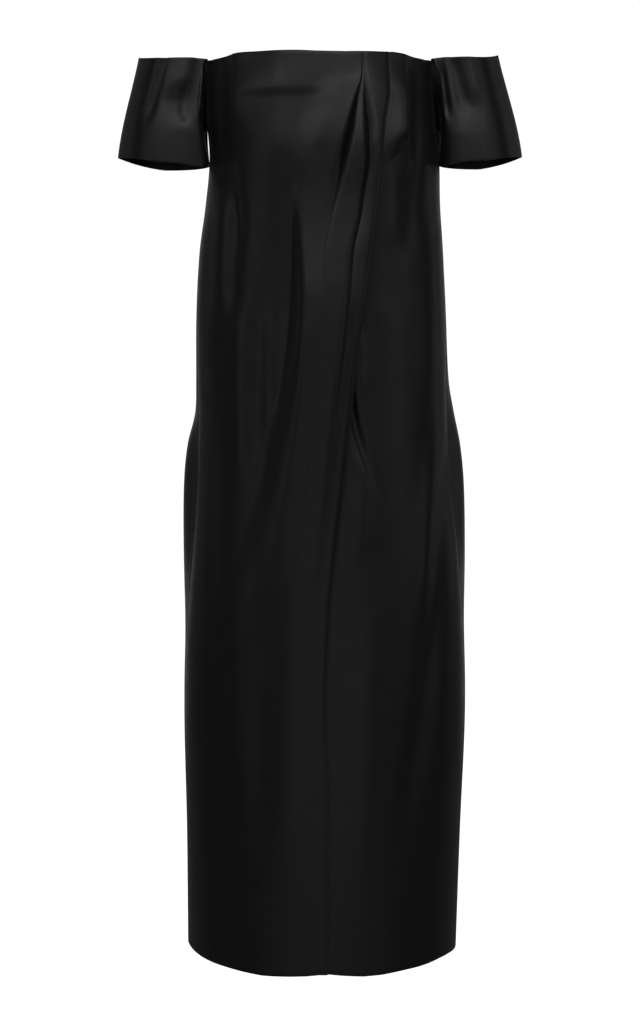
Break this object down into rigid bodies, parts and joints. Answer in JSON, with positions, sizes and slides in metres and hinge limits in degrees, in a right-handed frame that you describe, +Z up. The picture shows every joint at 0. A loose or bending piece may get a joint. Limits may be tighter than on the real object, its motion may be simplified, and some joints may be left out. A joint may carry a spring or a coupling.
{
  "type": "midi dress",
  "caption": "Off-the-shoulder column dress in black satin with short flared sleeves and a pleated front that wraps across to the hem, in its worn shape.",
  "frame": {"origin": "middle of the level neckline, where the wearer holds the dress", "axes": "+Z up, -Y out of the front, +X towards the wearer's left sleeve"},
  "size_m": [0.512, 0.287, 1.1399],
  "materials": {
    "satin": "black satin with a soft sheen"
  },
  "bodies": {
    "root": {"front_over_panel": "satin", "front_under_panel": "satin", "back_right_panel": "satin", "back_left_panel": "satin", "sleeve_right": "satin", "sleeve_left": "satin"}
  },
  "joints": []
}
